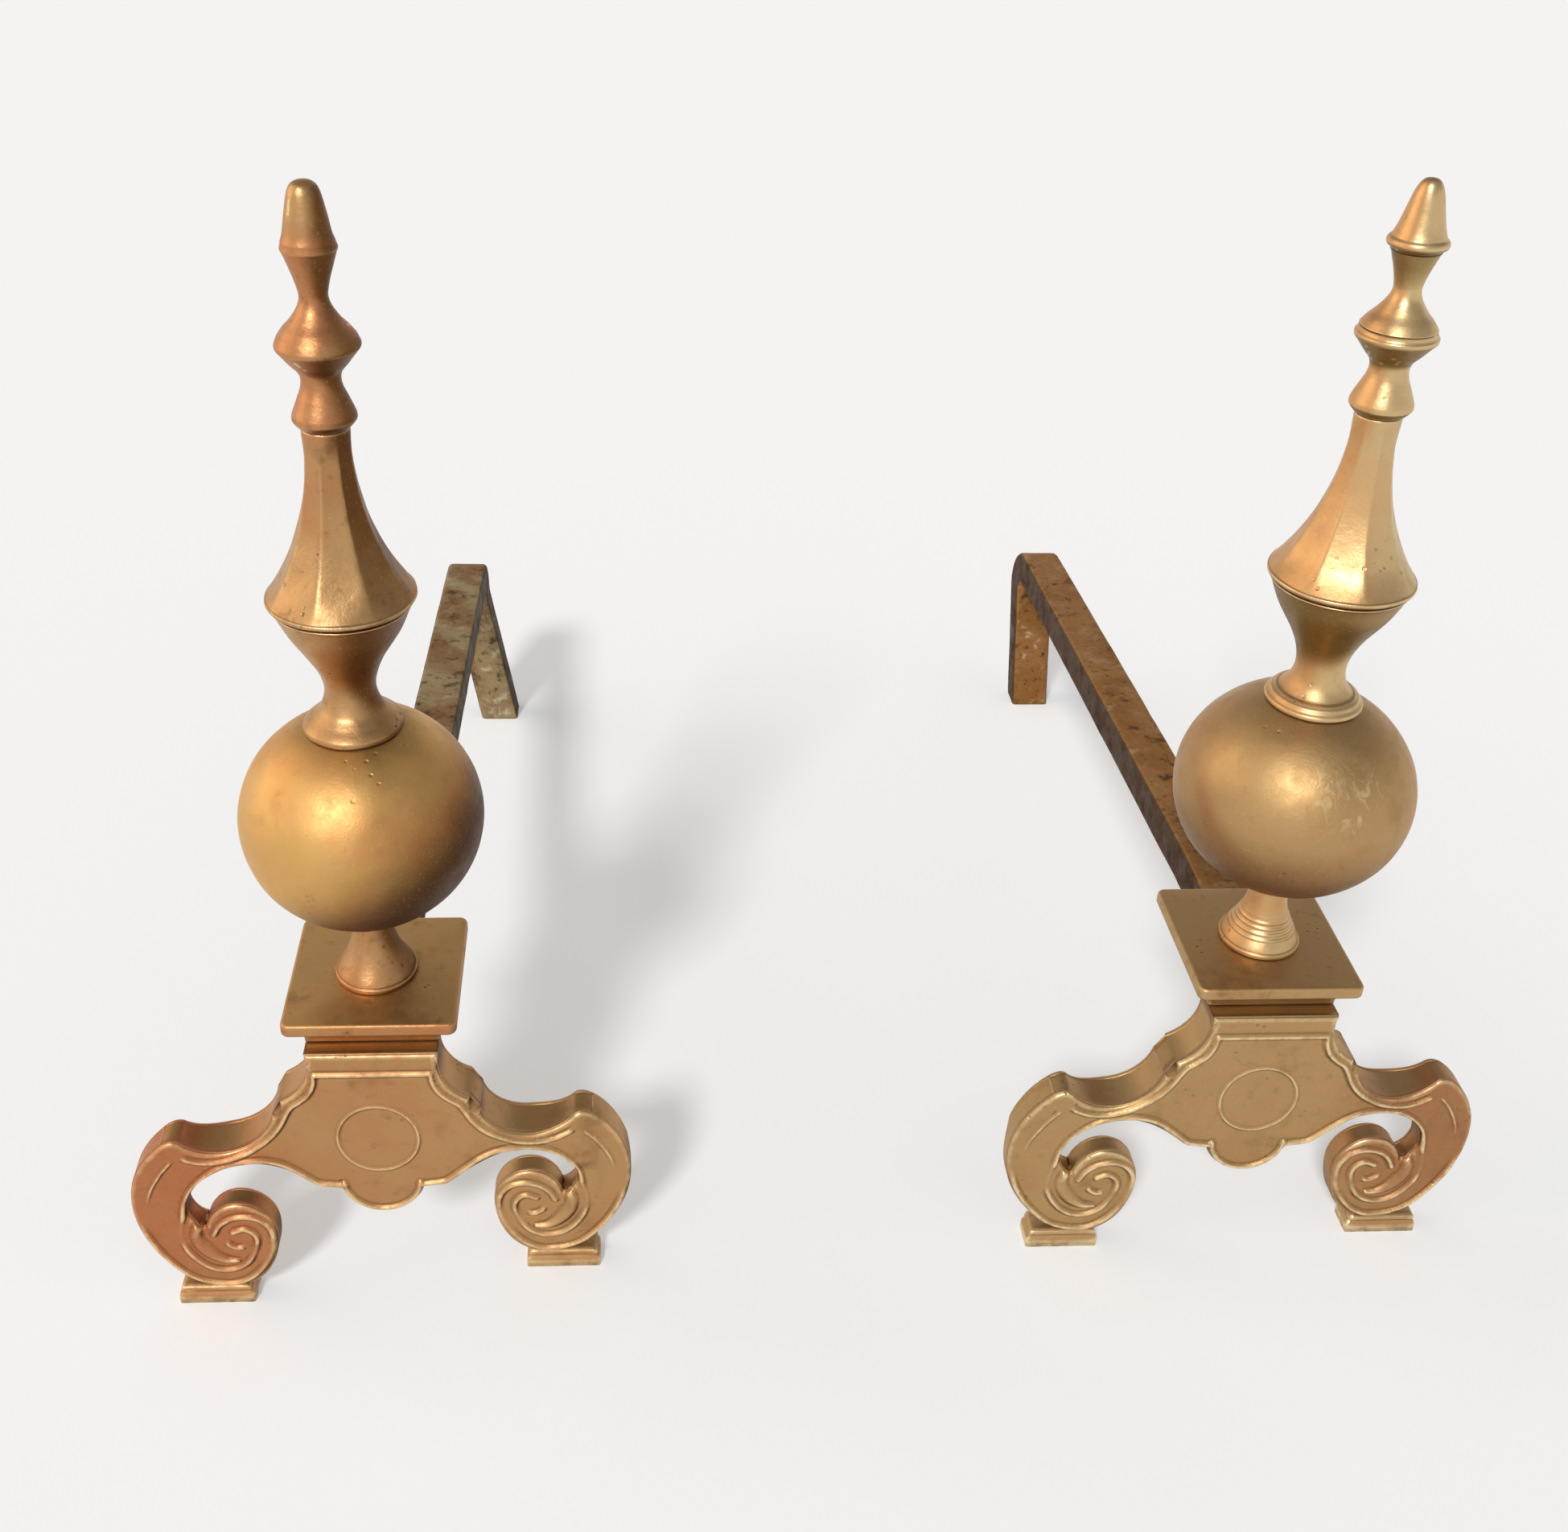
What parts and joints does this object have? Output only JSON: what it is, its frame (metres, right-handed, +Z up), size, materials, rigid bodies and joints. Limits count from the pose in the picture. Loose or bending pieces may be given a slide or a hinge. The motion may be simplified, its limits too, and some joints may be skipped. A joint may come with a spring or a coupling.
{
  "type": "andiron pair",
  "caption": "Brass andirons with scrolled legs, ball and steeple finials, and forged iron billet bars that hold logs off a hearth.",
  "frame": {"origin": "middle of the pair's footprint on the hearth, at the bottom of the bounding box", "axes": "+X from the left andiron to the right one, seen from the front; +Y back along the billet bars; +Z up. The fronts face -Y."},
  "size_m": [0.555, 0.494, 0.45],
  "materials": {
    "left_brass": "aged coppery brass, satin with polished edges and brown tarnish in the recesses",
    "right_brass": "aged yellow brass, satin with polished edges and brown tarnish in the recesses",
    "bar_iron": "wrought iron, mottled brown surface rust",
    "fastener_iron": "dark iron hardware, lightly rusted"
  },
  "bodies": {
    "root": {"left_leg_casting": "left_brass", "left_plinth": "left_brass", "left_spool": "left_brass", "left_ball": "left_brass", "left_neck": "left_brass", "left_steeple": "left_brass", "left_finial": "left_brass", "left_billet_bar": "bar_iron", "left_tie_rod": "fastener_iron", "left_rod_washer": "fastener_iron", "left_rod_nut": "fastener_iron", "right_leg_casting": "right_brass", "right_plinth": "right_brass", "right_spool": "right_brass", "right_ball": "right_brass", "right_neck": "right_brass", "right_steeple": "right_brass", "right_finial": "right_brass", "right_billet_bar": "bar_iron", "right_tie_rod": "fastener_iron", "right_rod_washer": "fastener_iron", "right_rod_nut": "fastener_iron"}
  },
  "joints": []
}
